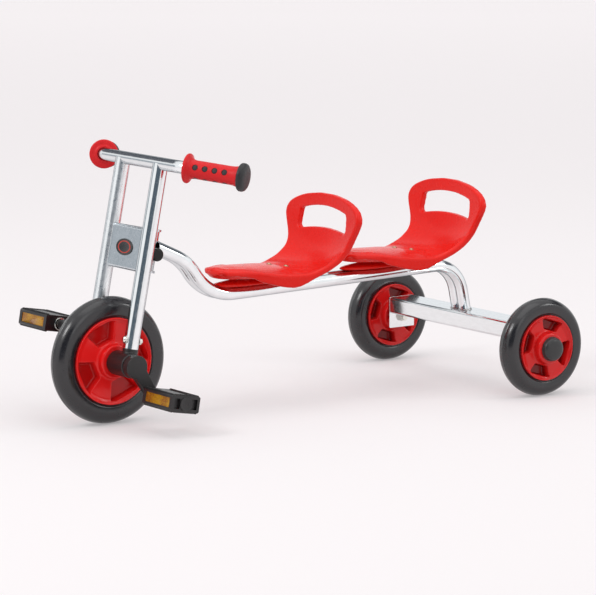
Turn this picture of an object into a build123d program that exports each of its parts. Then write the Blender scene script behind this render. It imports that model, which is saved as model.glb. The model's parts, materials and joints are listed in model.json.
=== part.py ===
from build123d import *
from math import atan2, cos, degrees, radians, sin
import os

# A child's tandem tricycle: one steered and pedalled front wheel, two seats in line on a
# twin-tube frame, and two rear wheels on a cross beam.
# Frame: floor at Z = 0, front towards -Y, the rider's left is +X. All sizes are in mm.

# ---------------------------------------------------------------- driving dimensions
wheelbase = 875.0
rear_track = 517.5
front_tyre_dia = 250.0
rear_tyre_dia = 200.0
running_gap = 0.05  # radial play of a bore on its pin
face_gap = 0.5  # play between faces that turn past each other

# fork: levels are measured up the rake from the front axle
fork_rake = 11.5
fork_setback = 4.0
fork_tube_dia = 30.0
fork_tube_wall = 2.0
fork_tube_x = 67.0
fork_tube_low = 31.0
bar_height = 392.0

# head: crown box, badge, head tube, pivot and steering stops
pivot_setback = 45.0
crown_low = 178.5
crown_high = 264.0
crown_sheet = 4.0
crown_front = 7.5
crown_bend = 5.0
crown_flange_radius = 22.0
badge_length = 59.0
badge_height = 32.0
badge_thickness = 1.6
head_tube_dia = 38.0
pivot_dia = 12.0
pivot_head_dia = 22.0
pivot_head_thickness = 6.0
stop_dia = 26.0
stop_reach = 44.0
stop_below_middle = 5.0
stop_edge = 5.0

# handlebar, grips and knobs: the swept ends are measured from the bar's bend
bar_dia = 25.0
bar_wall = 2.0
bar_bend_x = 140.0
bar_bend_radius = 42.0
bar_sweep = 35.0
grip_start = 10.0
grip_length = 110.0
grip_dia = 36.0
grip_gap = 0.1
grip_flange_dia = 58.0
grip_flange_width = 8.0
grip_flange_edge = 3.0
grip_neck_dia = 44.0
grip_neck_length = 10.0
grip_flare_dia = 43.0
grip_flare_length = 14.0
dot_dia = 8.5
dot_depth = 3.0
dot_pitch = 19.2
dot_count = 4
dot_rows = 4
first_dot = 28.0
knob_dia = 55.0
knob_width = 15.0
knob_outer_edge = 6.0
knob_inner_edge = 3.0

# wheels: rubber tyre on a moulded rim with pockets in both faces
front_rim_dia = 172.0
front_tyre_width = 46.0
front_rim_width = 50.0
front_hub_dia = 67.0
front_hub_width = 64.0
front_pocket_angle = 22.0
rear_rim_dia = 134.0
rear_tyre_width = 44.0
rear_rim_width = 48.0
rear_hub_dia = 64.0
rear_hub_width = 70.0
rear_pocket_angle = 73.0
rim_lip = 3.0
rim_slope = 9.0
web_depth = 7.0
hub_edge = 3.0
pocket_count = 4
pocket_depth = 13.0
pocket_share = 0.56  # part of the web's round that the pockets take
pocket_margin = 2.0
tyre_seat_share = 0.8  # tyre's width on its rim, as part of its full width
cap_dia = 50.0
cap_length = 15.0
cap_edge = 7.0

# front axle, bearing housings, cranks and pedals
axle_dia = 14.0
bearing_dia = 48.0
bearing_outer_x = 89.0
bearing_gap = 1.0
spigot_length = 30.0
crank_thickness = 18.0
crank_boss_dia = 46.0
crank_arm_dia = 30.0
crank_end_dia = 21.0
crank_length = 70.0
crank_angle = 33.0
crank_cap = 4.0
pedal_gap = 8.0
pedal_length = 101.0
pedal_depth = 64.0
pedal_height = 32.0
pedal_corner = 4.0
pedal_pitch = 10.0
pedal_pin_dia = 10.0
pedal_pin_end = 8.0
pedal_barrel_dia = 27.0
pedal_rail = 11.0
pedal_cheek = 12.0
pedal_slot_height = 20.0
pedal_slot_margin = 6.0
pedal_slot_depth = 6.0
reflector_length = 83.0
reflector_height = 19.0
reflector_depth = 5.0
reflector_recess = 1.0

# rear beam, wheel brackets and stub axles
beam_depth = 66.0
beam_height = 35.0
beam_rise = 45.0  # beam's top above the rear axle
beam_wall = 3.0
beam_corner = 5.0
bracket_thickness = 5.0
bracket_fall = 22.0  # bracket's low edge below the rear axle
bracket_front_corner = 3.0
bracket_rear_corner = 10.0
hub_clearance = 10.75
stub_dia = 12.0
stub_tail = 4.0
collar_dia = 24.0
nut_width = 17.0
nut_thickness = 9.0

# main frame tubes: middle line in the side view, as (back from the front axle, height)
frame_tube_dia = 25.0
frame_tube_wall = 2.0
frame_start = (88.0, 347.0)
frame_neck = (177.7, 305.5)
frame_neck_radius = 110.0
frame_dip = (229.7, 229.6)
frame_dip_radius = 105.0
frame_rear_height = 245.0
frame_rear_setback = 23.0  # rear bend's corner ahead of the rear axle
frame_rear_radius = 72.0
foot_setback = 2.0  # feet on the beam ahead of the rear axle

# seats: measured from the nose, along and square to the frame tubes' tops
seat_front_y = 225.0
seat_spacing = 315.0
seat_shell = 5.0
seat_back_thickness = 12.0
seat_lip_width = 8.0
seat_sag = 0.5  # least curve of the sections' lower lines
seat_edge_radius = 6.0
seat_gap = 0.1
hole_width = 166.0
hole_low = 102.0
hole_high = 146.0
hole_low_sag = 9.0
hole_high_sag = 11.0
hole_corner = 9.0
hole_taper = 5.0
belly_width = 56.0
belly_front = 60.0
belly_rear = 215.0
belly_ramp = 26.0
belly_ramp_height = 12.0
belly_lip = (40.0, 17.0)
belly_neck = (88.0, 23.0)
belly_root = 104.0

# middle line of the seat's upper face, from the nose to the top of the back
seat_line = [
    (17.5, 28), (18.5, 35), (23, 40), (31, 42), (61, 42), (121, 37.5), (158, 34.5), (200, 26), (236, 23),
    (265, 34), (283.5, 60), (292.5, 98), (297.5, 140), (300, 164),
]
# along that line from 0 to 1: half width, drop of the edges, depth of the turned-down edge
seat_stations = [
    (0.000, 26, 1, 7), (0.022, 32, 2, 7.5), (0.045, 38, 3.5, 9.5), (0.075, 43, 5, 13),
    (0.110, 47, 6, 14), (0.155, 53, 6, 16), (0.200, 62, 6.5, 18.5), (0.276, 78, 9, 23),
    (0.368, 88, 11, 26.5), (0.417, 90, 9, 26), (0.470, 92, 5, 19), (0.514, 94, -2, 14),
    (0.558, 95, -9, 13), (0.602, 96, -13, 12), (0.645, 97, -15, 13), (0.689, 99, -13, 13),
    (0.738, 104, -10, 13), (0.786, 111, -9, 13), (0.845, 122, -8, 13), (0.888, 126, -7, 13),
    (0.932, 116, -6, 13), (0.9563, 100, -4.5, 13), (0.9757, 79, -3, 13), (0.9883, 57, -1.5, 13),
    (0.9951, 37, -0.6, 13), (1.000, 16, -0.2, 13),
]
hollow_start = 0.09
hollow_end = 0.470

# ---------------------------------------------------------------- places worked out from them
front_axle_y = (front_tyre_dia / 2 - rear_tyre_dia / 2 - wheelbase) / 2
front_axle_z = front_tyre_dia / 2
rear_axle_y = front_axle_y + wheelbase
rear_axle_z = rear_tyre_dia / 2
front_axle = Vector(0, front_axle_y, front_axle_z)
beam_top = rear_axle_z + beam_rise
bracket_x = rear_track / 2 - rear_hub_width / 2 - hub_clearance - bracket_thickness
fork_radius = fork_tube_dia / 2
sides = ((1, "left"), (-1, "right"))

os.makedirs("parts", exist_ok=True)


def write(name, part):
    part.label = name
    export_step(part, f"parts/{name}.step")


# the fork's own frame: z up along the rake, y square to it towards the rear
rake = radians(fork_rake)
fork = Plane(
    origin=front_axle + Vector(0, fork_setback, 0),
    x_dir=(1, 0, 0),
    z_dir=(0, sin(rake), cos(rake)),
)


def fork_level(z, x=0.0, y=0.0):
    """The fork's plane moved up the rake to z, and to x and y in that plane."""
    return Plane(origin=fork.from_local_coords(Vector(x, y, z)), x_dir=fork.x_dir, z_dir=fork.z_dir)


def side_point(y, z):
    """A point of the side view on the middle plane, y back from the front axle."""
    return Vector(0, front_axle_y + y, z)


def outward(centre, side, x, y=0.0, z=0.0):
    """A plane square to X, facing away from the middle: its x is +Y on the left, -Y on the right."""
    return Plane(origin=centre + Vector(side * x, y, z), x_dir=(0, side, 0), z_dir=(side, 0, 0))


def bent_tube(points, radii, dia, wall):
    """A round tube of straight runs joined by tangent bends."""
    with BuildLine() as middle:
        FilletPolyline(*points, radius=radii)
    with BuildPart() as tube:
        for run in middle.edges():
            with BuildSketch(Plane(origin=run @ 0, z_dir=run % 0)):
                Circle(dia / 2)
                Circle(dia / 2 - wall, mode=Mode.SUBTRACT)
            if run.geom_type == GeomType.LINE:
                extrude(amount=run.length)
            else:
                turn = (run @ 0 - run.arc_center).cross(run % 0)
                revolve(axis=Axis(run.arc_center, turn), revolution_arc=degrees(run.length / run.radius))
    return tube.part


# ---------------------------------------------------------------- fork tubes
for side, word in sides:
    with BuildPart() as tube:
        with BuildSketch(fork_level(fork_tube_low, side * fork_tube_x)):
            Circle(fork_radius)
            Circle(fork_radius - fork_tube_wall, mode=Mode.SUBTRACT)
        extrude(amount=bar_height - fork_tube_low)
        # the upper end is cut to the handlebar that lies on it
        with BuildSketch(Plane(origin=fork_level(bar_height).origin, x_dir=fork.y_dir, z_dir=(1, 0, 0))):
            Circle(bar_dia / 2)
        extrude(amount=2 * fork_tube_x, both=True, mode=Mode.SUBTRACT)
    write(f"{word}_fork_tube", tube.part)

# ---------------------------------------------------------------- handlebar, grips and knobs
sweep_angle = radians(bar_sweep)
bar_end = grip_start + grip_length
grip_bore = bar_dia + 2 * grip_gap


def bar_point(along, side):
    """A point of the bar's swept end, along it from the bend's corner."""
    local = Vector(side * (bar_bend_x + along * cos(sweep_angle)), along * sin(sweep_angle), bar_height)
    return fork.from_local_coords(local)


def bar_end_plane(along, side):
    """A plane square to the bar's swept end, facing outwards, with its x up the fork."""
    return Plane(origin=bar_point(along, side), x_dir=fork.z_dir, z_dir=bar_point(1, side) - bar_point(0, side))


bar_corners = [bar_point(bar_end, -1), bar_point(0, -1), bar_point(0, 1), bar_point(bar_end, 1)]
write("handlebar", bent_tube(bar_corners, bar_bend_radius, bar_dia, bar_wall))

for side, word in sides:
    base = bar_end_plane(grip_start, side)
    with BuildPart() as grip:
        with BuildSketch(Plane(origin=base.origin, x_dir=base.x_dir, z_dir=-base.y_dir)):
            with BuildLine():
                Polyline(
                    (grip_bore / 2, 0),
                    (grip_flange_dia / 2 - grip_flange_edge, 0),
                    (grip_flange_dia / 2, grip_flange_edge),
                    (grip_flange_dia / 2, grip_flange_width - grip_flange_edge),
                    (grip_neck_dia / 2, grip_flange_width),
                    (grip_dia / 2, grip_flange_width + grip_neck_length),
                    (grip_dia / 2, grip_length - grip_flare_length),
                    (grip_flare_dia / 2, grip_length),
                    (grip_bore / 2, grip_length),
                    close=True,
                )
            make_face()
        revolve(axis=Axis(base.origin, base.z_dir))
        # rows of round dimples along the grip
        for row in range(dot_rows):
            spoke = base.x_dir.rotate(Axis((0, 0, 0), base.z_dir), 360 / dot_rows * row)
            for k in range(dot_count):
                middle = base.origin + base.z_dir * (first_dot + k * dot_pitch)
                with BuildSketch(Plane(origin=middle, z_dir=spoke).offset(grip_dia / 2 - dot_depth)):
                    Circle(dot_dia / 2)
                extrude(amount=2 * dot_depth, mode=Mode.SUBTRACT)
    write(f"{word}_grip", grip.part)

    tip = bar_end_plane(bar_end, side)
    with BuildPart() as knob:
        with BuildSketch(tip):
            Circle(knob_dia / 2)
        extrude(amount=knob_width)
        knob_ends = knob.faces().sort_by(Axis(tip.origin, tip.z_dir))
        fillet(knob_ends[-1].edges(), radius=knob_outer_edge)
        knob_ends = knob.faces().sort_by(Axis(tip.origin, tip.z_dir))
        fillet(knob_ends[0].edges(), radius=knob_inner_edge)
    write(f"{word}_grip_knob", knob.part)

# ---------------------------------------------------------------- crown box, badge and pivot
plate_half = fork_tube_x - fork_radius
with BuildPart() as crown:
    # front plate between the fork tubes
    with BuildSketch(fork_level(crown_low)):
        with Locations((0, -crown_front + crown_sheet / 2)):
            Rectangle(2 * plate_half, crown_sheet)
    extrude(amount=crown_high - crown_low)
    # top and bottom flanges, turned back from the plate to carry the pivot
    for level in (crown_low, crown_high - crown_sheet):
        with BuildSketch(fork_level(level)):
            with BuildLine():
                Line((-plate_half, -crown_front), (plate_half, -crown_front))
                for side in (1, -1):
                    Polyline((side * plate_half, -crown_front), (side * plate_half, 0),
                             (side * crown_flange_radius, pivot_setback))
                RadiusArc((crown_flange_radius, pivot_setback), (-crown_flange_radius, pivot_setback),
                          -crown_flange_radius)
            make_face()
            with Locations((0, pivot_setback)):
                Circle(pivot_dia / 2, mode=Mode.SUBTRACT)
        extrude(amount=crown_sheet)
    front_edges = crown.edges().filter_by(Axis.X).group_by(Axis(fork.origin, fork.y_dir))[0]
    fillet(front_edges, radius=crown_bend)
write("crown_box", crown.part)

with BuildPart() as badge:
    badge_middle = fork.from_local_coords(Vector(0, -crown_front, (crown_low + crown_high) / 2))
    with BuildSketch(Plane(origin=badge_middle, x_dir=(1, 0, 0), z_dir=-fork.y_dir)):
        Ellipse(badge_length / 2, badge_height / 2)
    extrude(amount=badge_thickness)
write("badge", badge.part)

with BuildPart() as pivot_bolt:
    with BuildSketch(fork_level(crown_low, 0, pivot_setback)):
        Circle(pivot_dia / 2)
    extrude(amount=crown_high - crown_low)
    with BuildSketch(fork_level(crown_high, 0, pivot_setback)):
        Circle(pivot_head_dia / 2)
    extrude(amount=pivot_head_thickness)
    with BuildSketch(fork_level(crown_low, 0, pivot_setback)):
        RegularPolygon(pivot_head_dia / 2, 6)
    extrude(amount=-pivot_head_thickness)
write("pivot_bolt", pivot_bolt.part)

head_low = crown_low + crown_sheet + face_gap
head_high = crown_high - crown_sheet - face_gap
with BuildPart() as head_tube:
    with BuildSketch(fork_level(head_low, 0, pivot_setback)):
        Circle(head_tube_dia / 2)
        Circle(pivot_dia / 2 + running_gap, mode=Mode.SUBTRACT)
    extrude(amount=head_high - head_low)
write("head_tube", head_tube.part)

stop_level = (crown_low + crown_high) / 2 - stop_below_middle
for side, word in sides:
    with BuildPart() as stop:
        with BuildSketch(outward(fork_level(stop_level, 0, pivot_setback).origin, side, 0)):
            Circle(stop_dia / 2)
        extrude(amount=stop_reach)
        fillet(stop.faces().sort_by(Axis.X)[-1 if side > 0 else 0].edges(), radius=stop_edge)
        with BuildSketch(fork_level(head_low, 0, pivot_setback)):
            Circle(head_tube_dia / 2)
        extrude(amount=head_high - head_low, mode=Mode.SUBTRACT)
    write(f"{word}_steering_stop", stop.part)

# ---------------------------------------------------------------- frame tubes
frame_rear = (wheelbase - frame_rear_setback, frame_rear_height)
frame_foot = (wheelbase - foot_setback, beam_top)
frame_points = [side_point(*p) for p in (frame_start, frame_neck, frame_dip, frame_rear, frame_foot)]
# the feet run past the beam's top before they are cut level with it
frame_points[-1] += (frame_points[-1] - frame_points[-2]).normalized() * frame_tube_dia
behind_stops = Plane(origin=fork_level(0, 0, pivot_setback).origin, z_dir=fork.y_dir).offset(stop_dia / 2)
for side, word in sides:
    across = Vector(side * frame_tube_dia / 2, 0, 0)
    with BuildPart() as tube:
        add(bent_tube([p + across for p in frame_points],
                      [frame_neck_radius, frame_dip_radius, frame_rear_radius], frame_tube_dia, frame_tube_wall))
        with BuildSketch(fork_level(0, 0, pivot_setback)):
            Circle(head_tube_dia / 2)
        extrude(amount=bar_height, mode=Mode.SUBTRACT)
        split(bisect_by=Plane.XY.offset(beam_top), keep=Keep.TOP)
        split(bisect_by=behind_stops, keep=Keep.TOP)
    write(f"{word}_frame_tube", tube.part)

# ---------------------------------------------------------------- rear beam, brackets and stub axles
with BuildPart() as rear_beam:
    beam_middle = Vector(0, rear_axle_y, beam_top - beam_height / 2)
    with BuildSketch(outward(beam_middle, 1, -bracket_x)):
        RectangleRounded(beam_depth, beam_height, beam_corner)
        RectangleRounded(beam_depth - 2 * beam_wall, beam_height - 2 * beam_wall, beam_corner - beam_wall,
                         mode=Mode.SUBTRACT)
    extrude(amount=2 * bracket_x)
write("rear_beam", rear_beam.part)

for side, word in sides:
    with BuildPart() as bracket:
        plate_height = beam_rise + bracket_fall
        with BuildSketch(Plane(origin=(side * bracket_x, rear_axle_y, rear_axle_z), x_dir=(0, 1, 0),
                               z_dir=(1, 0, 0))) as face:
            with Locations((0, (beam_rise - bracket_fall) / 2)):
                Rectangle(beam_depth, plate_height)
            low_corners = face.vertices().group_by(Axis.Y)[0].sort_by(Axis.X)
            fillet(low_corners[0], radius=bracket_front_corner)
            fillet(low_corners[-1], radius=bracket_rear_corner)
            fillet(face.vertices().group_by(Axis.Y)[-1], radius=beam_corner)
            Circle(stub_dia / 2, mode=Mode.SUBTRACT)
        extrude(amount=side * bracket_thickness)
    write(f"{word}_wheel_bracket", bracket.part)

    rear_axle = Vector(0, rear_axle_y, rear_axle_z)
    stub_start = bracket_x - nut_thickness - stub_tail
    stub_end = rear_track / 2 + rear_hub_width / 2 + stub_tail
    with BuildPart() as stub:
        with BuildSketch(outward(rear_axle, side, stub_start)):
            Circle(stub_dia / 2)
        extrude(amount=stub_end - stub_start)
        with BuildSketch(outward(rear_axle, side, bracket_x - nut_thickness)):
            RegularPolygon(nut_width / 2, 6, major_radius=False)
        extrude(amount=nut_thickness)
        with BuildSketch(outward(rear_axle, side, bracket_x + bracket_thickness)):
            Circle(collar_dia / 2)
        extrude(amount=hub_clearance - face_gap)
    write(f"{word}_stub_axle", stub.part)


# ---------------------------------------------------------------- wheels
def tyre_solid(centre, dia, rim_dia, width):
    """A solid rubber ring with a round tread and a flat seat on the rim."""
    seat_half = width / 2 * tyre_seat_share
    low = rim_dia / 2
    middle = (dia + rim_dia) / 4
    with BuildPart() as tyre:
        with BuildSketch(Plane(origin=centre, x_dir=(1, 0, 0), z_dir=(0, -1, 0))):
            with BuildLine():
                EllipticalCenterArc((0, middle), width / 2, dia / 2 - middle, arc_size=180)
                Spline((-width / 2, middle), (-seat_half, low), tangents=((0, -1), (1, -1)))
                Line((-seat_half, low), (seat_half, low))
                Spline((seat_half, low), (width / 2, middle), tangents=((1, 1), (0, 1)))
            make_face()
        revolve(axis=Axis(centre, (1, 0, 0)))
    return tyre.part


def rim_solid(centre, rim_dia, width, hub_dia, hub_width, bore_dia, pocket_angle):
    """A moulded wheel centre: edge lips, sloping shoulder, web with pockets in both faces, hub."""
    edge = rim_dia / 2
    hub = hub_dia / 2
    web = width / 2 - web_depth
    web_outer = edge - rim_lip - rim_slope
    half_profile = [
        (hub_width / 2, bore_dia / 2), (hub_width / 2, hub - hub_edge), (hub_width / 2 - hub_edge, hub),
        (web, hub), (web, web_outer), (width / 2 - rim_lip / 2, edge - rim_lip), (width / 2, edge - rim_lip),
        (width / 2, edge),
    ]
    with BuildPart() as rim:
        with BuildSketch(Plane(origin=centre, x_dir=(1, 0, 0), z_dir=(0, -1, 0))):
            with BuildLine():
                Polyline(*half_profile, *[(-x, r) for x, r in reversed(half_profile)], close=True)
            make_face()
        revolve(axis=Axis(centre, (1, 0, 0)))
        inner = hub + pocket_margin
        outer = web_outer - pocket_margin
        half_turn = radians(180 / pocket_count * pocket_share)
        for side in (1, -1):
            face = Plane(origin=centre + Vector(side * web, 0, 0), x_dir=(0, 1, 0), z_dir=(side, 0, 0))
            with BuildSketch(face):
                with PolarLocations(0, pocket_count, start_angle=side * pocket_angle):
                    Polygon(
                        (inner, -inner * half_turn), (outer, -outer * half_turn),
                        (outer, outer * half_turn), (inner, inner * half_turn),
                        align=None,
                    )
            extrude(amount=-pocket_depth, mode=Mode.SUBTRACT)
    return rim.part


write("front_tyre", tyre_solid(front_axle, front_tyre_dia, front_rim_dia, front_tyre_width))
write("front_rim", rim_solid(front_axle, front_rim_dia, front_rim_width, front_hub_dia, front_hub_width,
                             axle_dia, front_pocket_angle))
for side, word in sides:
    centre = Vector(side * rear_track / 2, rear_axle_y, rear_axle_z)
    write(f"{word}_rear_tyre", tyre_solid(centre, rear_tyre_dia, rear_rim_dia, rear_tyre_width))
    write(f"{word}_rear_rim", rim_solid(centre, rear_rim_dia, rear_rim_width, rear_hub_dia, rear_hub_width,
                                        stub_dia + 2 * running_gap, rear_pocket_angle))
    hub_face = outward(centre, side, rear_hub_width / 2)
    with BuildPart() as cap:
        with BuildSketch(hub_face):
            Circle(cap_dia / 2)
        extrude(amount=cap_length)
        fillet(cap.faces().sort_by(Axis.X)[-1 if side > 0 else 0].edges(), radius=cap_edge)
        # room for the end of the stub axle
        with BuildSketch(hub_face):
            Circle(stub_dia / 2 + stub_tail)
        extrude(amount=2 * stub_tail, mode=Mode.SUBTRACT)
    write(f"{word}_hub_cap", cap.part)

# ---------------------------------------------------------------- front axle, bearings, cranks and pedals
bearing_inner_x = front_hub_width / 2 + bearing_gap
crank_inner_x = bearing_outer_x + bearing_gap
crank_outer_x = crank_inner_x + crank_thickness
pedal_inner_x = crank_outer_x + pedal_gap
axle_half = crank_outer_x - crank_cap
with BuildPart() as axle:
    with BuildSketch(outward(front_axle, 1, -axle_half)):
        Circle(axle_dia / 2)
    extrude(amount=2 * axle_half)
write("front_axle", axle.part)

crank_reach = crank_length * sin(radians(crank_angle))
crank_fall = crank_length * cos(radians(crank_angle))
for side, word in sides:
    # housing on the axle, with a spigot up into the fork tube
    with BuildPart() as bearing:
        with BuildSketch(outward(front_axle, side, bearing_inner_x)):
            Circle(bearing_dia / 2)
        extrude(amount=bearing_outer_x - bearing_inner_x)
        with BuildSketch(fork_level(0, side * fork_tube_x)):
            Circle(fork_radius)
        extrude(amount=fork_tube_low)
        with BuildSketch(fork_level(fork_tube_low, side * fork_tube_x)):
            Circle(fork_radius - fork_tube_wall)
        extrude(amount=spigot_length)
        with BuildSketch(outward(front_axle, side, bearing_inner_x)):
            Circle(axle_dia / 2 + running_gap)
        extrude(amount=bearing_outer_x - bearing_inner_x, mode=Mode.SUBTRACT)
    write(f"{word}_bearing_housing", bearing.part)

    # the left crank points down and back, the right one up and forward
    end_y = side * crank_reach
    end_z = -side * crank_fall
    with BuildPart() as crank:
        with BuildSketch(outward(front_axle, side, crank_inner_x)):
            Circle(crank_arm_dia / 2)
            with Locations((crank_reach, end_z)):
                Circle(crank_end_dia / 2)
            make_hull()
            Circle(crank_boss_dia / 2)
            Circle(axle_dia / 2, mode=Mode.SUBTRACT)
        extrude(amount=crank_thickness)
        with BuildSketch(outward(front_axle, side, crank_outer_x, end_y, end_z)):
            Circle(pedal_pin_dia / 2)
        extrude(amount=pedal_gap + pedal_length - pedal_pin_end)
        with BuildSketch(outward(front_axle, side, axle_half)):
            Circle(axle_dia / 2)
        extrude(amount=crank_cap)
    write(f"{word}_crank", crank.part)

    # pedal: a barrel on the pin, a rail in front and behind, and a cheek at each end
    tilt = radians(pedal_pitch)
    pedal_end = Plane(
        origin=front_axle + Vector(side * pedal_inner_x, end_y, end_z),
        x_dir=(0, side * cos(tilt), -side * sin(tilt)),
        z_dir=(side, 0, 0),
    )
    tread = Plane(origin=pedal_end.origin, x_dir=(side, 0, 0), z_dir=side * pedal_end.y_dir)
    rails = Plane(origin=pedal_end.origin, x_dir=(side, 0, 0), z_dir=-side * pedal_end.x_dir)
    window_depth = (pedal_depth - pedal_barrel_dia) / 2 - pedal_rail
    window_at = (pedal_barrel_dia + window_depth) / 2
    slot_width = (pedal_depth - pedal_barrel_dia) / 2 - pedal_slot_margin
    slot_at = (pedal_barrel_dia + slot_width) / 2
    with BuildPart() as pedal:
        with BuildSketch(pedal_end):
            RectangleRounded(pedal_depth, pedal_height, pedal_corner)
        extrude(amount=pedal_length)
        with BuildSketch(tread):
            with Locations((pedal_length / 2, window_at), (pedal_length / 2, -window_at)):
                Rectangle(pedal_length - 2 * pedal_cheek, window_depth)
        extrude(amount=pedal_height, both=True, mode=Mode.SUBTRACT)
        with BuildSketch(pedal_end.offset(pedal_length - pedal_slot_depth)):
            with Locations((slot_at, 0), (-slot_at, 0)):
                Rectangle(slot_width, pedal_slot_height)
        extrude(amount=pedal_slot_depth, mode=Mode.SUBTRACT)
        with BuildSketch(pedal_end):
            Circle(pedal_pin_dia / 2 + running_gap)
        extrude(amount=pedal_length - pedal_pin_end + face_gap, mode=Mode.SUBTRACT)
        for turn in (1, -1):
            with BuildSketch(rails.offset(turn * (pedal_depth / 2 - reflector_depth))):
                with Locations((pedal_length / 2, 0)):
                    Rectangle(reflector_length, reflector_height)
            extrude(amount=turn * reflector_depth, mode=Mode.SUBTRACT)
    write(f"{word}_pedal", pedal.part)

    with BuildPart() as reflectors:
        for turn in (1, -1):
            with BuildSketch(rails.offset(turn * (pedal_depth / 2 - reflector_depth))):
                with Locations((pedal_length / 2, 0)):
                    Rectangle(reflector_length, reflector_height)
            extrude(amount=turn * (reflector_depth - reflector_recess))
    write(f"{word}_pedal_reflectors", reflectors.part)

# ---------------------------------------------------------------- seats
tube_slope = atan2(frame_rear[1] - frame_dip[1], frame_rear[0] - frame_dip[0])


def tube_top(y):
    """Point on the frame tubes' tops, y back from the front axle."""
    rise = (y - frame_dip[0]) * sin(tube_slope) / cos(tube_slope)
    return side_point(y, frame_dip[1] + rise + frame_tube_dia / 2 / cos(tube_slope))


def seat_section(plane, half, drop, depth, radius):
    """A closed section across the seat: curved top and underside, rounded shoulders, straight sides."""
    inset = radius * (1 - cos(radians(45)))
    with BuildSketch(plane) as section:
        with BuildLine():
            ThreePointArc((-half + radius, -drop), (0, 0), (half - radius, -drop))
            ThreePointArc((half - radius, -drop), (half - inset, -drop - inset), (half, -drop - radius))
            Line((half, -drop - radius), (half, -drop - depth))
            middle_depth = max(drop + depth, seat_back_thickness) + seat_sag
            ThreePointArc((half, -drop - depth), (0, -middle_depth), (-half, -drop - depth))
            Line((-half, -drop - depth), (-half, -drop - radius))
            ThreePointArc((-half, -drop - radius), (inset - half, -drop - inset), (-half + radius, -drop))
        make_face()
    return section.sketch


def seat_solid(nose):
    """One moulded seat on the frame tubes, with its nose above the given point of their tops."""
    side_view = Plane(origin=nose, x_dir=(0, cos(tube_slope), sin(tube_slope)), z_dir=(1, 0, 0))
    with BuildLine(side_view) as line:
        Spline(*seat_line)
    spine = line.wires()[0]
    shells = []
    hollows = []
    for along, half, drop, depth in seat_stations:
        tangent = spine % along
        upward = Vector(1, 0, 0).cross(tangent)
        plane = Plane(origin=spine @ along, x_dir=upward.cross(tangent), z_dir=tangent)
        shells.append(seat_section(plane, half, drop, depth, seat_edge_radius))
        if hollow_start < along <= hollow_end:
            inner_face = Plane(origin=plane.origin - upward * seat_shell, x_dir=plane.x_dir, z_dir=tangent)
            hollows.append(seat_section(inner_face, half - seat_lip_width, drop, depth, seat_edge_radius / 2))
    with BuildPart() as seat:
        loft(shells)
        loft(hollows, mode=Mode.SUBTRACT)
        # belly under the pan, which rests on the frame tubes
        under = [(y, z - seat_shell / 2) for y, z in seat_line if belly_root < y <= belly_rear + belly_ramp]
        with BuildSketch(side_view):
            with BuildLine():
                Polyline(
                    (belly_front, seat_gap), (belly_rear, seat_gap), *reversed(under), belly_neck, belly_lip,
                    (belly_front - belly_ramp, belly_ramp_height), close=True,
                )
            make_face()
        extrude(amount=belly_width / 2, both=True)
        # grip hole through the back
        half = hole_width / 2
        with BuildSketch(Plane(origin=nose, x_dir=(1, 0, 0), z_dir=(0, -1, 0))) as hole:
            with BuildLine():
                ThreePointArc((-half, hole_low - hole_low_sag), (0, hole_low), (half, hole_low - hole_low_sag))
                Line((half, hole_low - hole_low_sag), (half - hole_taper, hole_high - hole_high_sag))
                ThreePointArc((half - hole_taper, hole_high - hole_high_sag), (0, hole_high),
                              (hole_taper - half, hole_high - hole_high_sag))
                Line((hole_taper - half, hole_high - hole_high_sag), (-half, hole_low - hole_low_sag))
            make_face()
            fillet(hole.vertices(), radius=hole_corner)
        extrude(amount=-2 * seat_spacing, mode=Mode.SUBTRACT)
    return seat.part


write("front_seat", seat_solid(tube_top(seat_front_y)))
write("rear_seat", seat_solid(tube_top(seat_front_y + seat_spacing)))
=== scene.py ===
# %% [markdown]
# A child's tandem tricycle, dressed for a studio picture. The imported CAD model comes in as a
# fixed frame: it says where every piece is and what it moves with. Round tubes, plates and
# nuts keep their CAD shape and get a finish. Moulded and rubber pieces, whose edges are all
# soft, are modelled again here at the same place.

# %% Load the tricycle's frame
import json
from math import atan2, cos, pi, radians, sin, tau

import bpy
from mathutils import Matrix, Quaternion, Vector


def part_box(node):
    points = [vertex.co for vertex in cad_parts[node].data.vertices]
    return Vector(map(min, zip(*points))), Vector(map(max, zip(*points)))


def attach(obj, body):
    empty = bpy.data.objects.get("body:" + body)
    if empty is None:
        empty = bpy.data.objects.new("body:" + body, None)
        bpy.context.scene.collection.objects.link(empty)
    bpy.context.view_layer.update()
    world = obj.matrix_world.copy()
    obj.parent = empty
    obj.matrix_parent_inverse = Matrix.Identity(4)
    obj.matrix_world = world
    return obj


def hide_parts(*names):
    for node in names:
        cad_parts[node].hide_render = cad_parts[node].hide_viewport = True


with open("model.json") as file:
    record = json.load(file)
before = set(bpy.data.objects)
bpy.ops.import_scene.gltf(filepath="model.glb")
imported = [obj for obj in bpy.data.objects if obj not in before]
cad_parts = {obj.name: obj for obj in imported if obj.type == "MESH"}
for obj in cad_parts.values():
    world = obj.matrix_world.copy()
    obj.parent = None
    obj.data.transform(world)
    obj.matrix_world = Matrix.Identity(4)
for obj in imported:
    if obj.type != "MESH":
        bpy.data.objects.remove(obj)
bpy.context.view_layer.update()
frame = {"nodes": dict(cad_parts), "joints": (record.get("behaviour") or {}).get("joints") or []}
mm = 0.001

# %% [markdown]
# Places come from the frame itself. The middle of a tyre's box is its axle, and the steering
# joint gives the rake of the fork. A small helper turns "across, back, up the rake" in
# millimetres into a point, so that fork pieces can be placed as the fork was drawn.

# %% Find the axles and the fork
def middle(node):
    low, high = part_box(node)
    return (low + high) / 2


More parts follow.
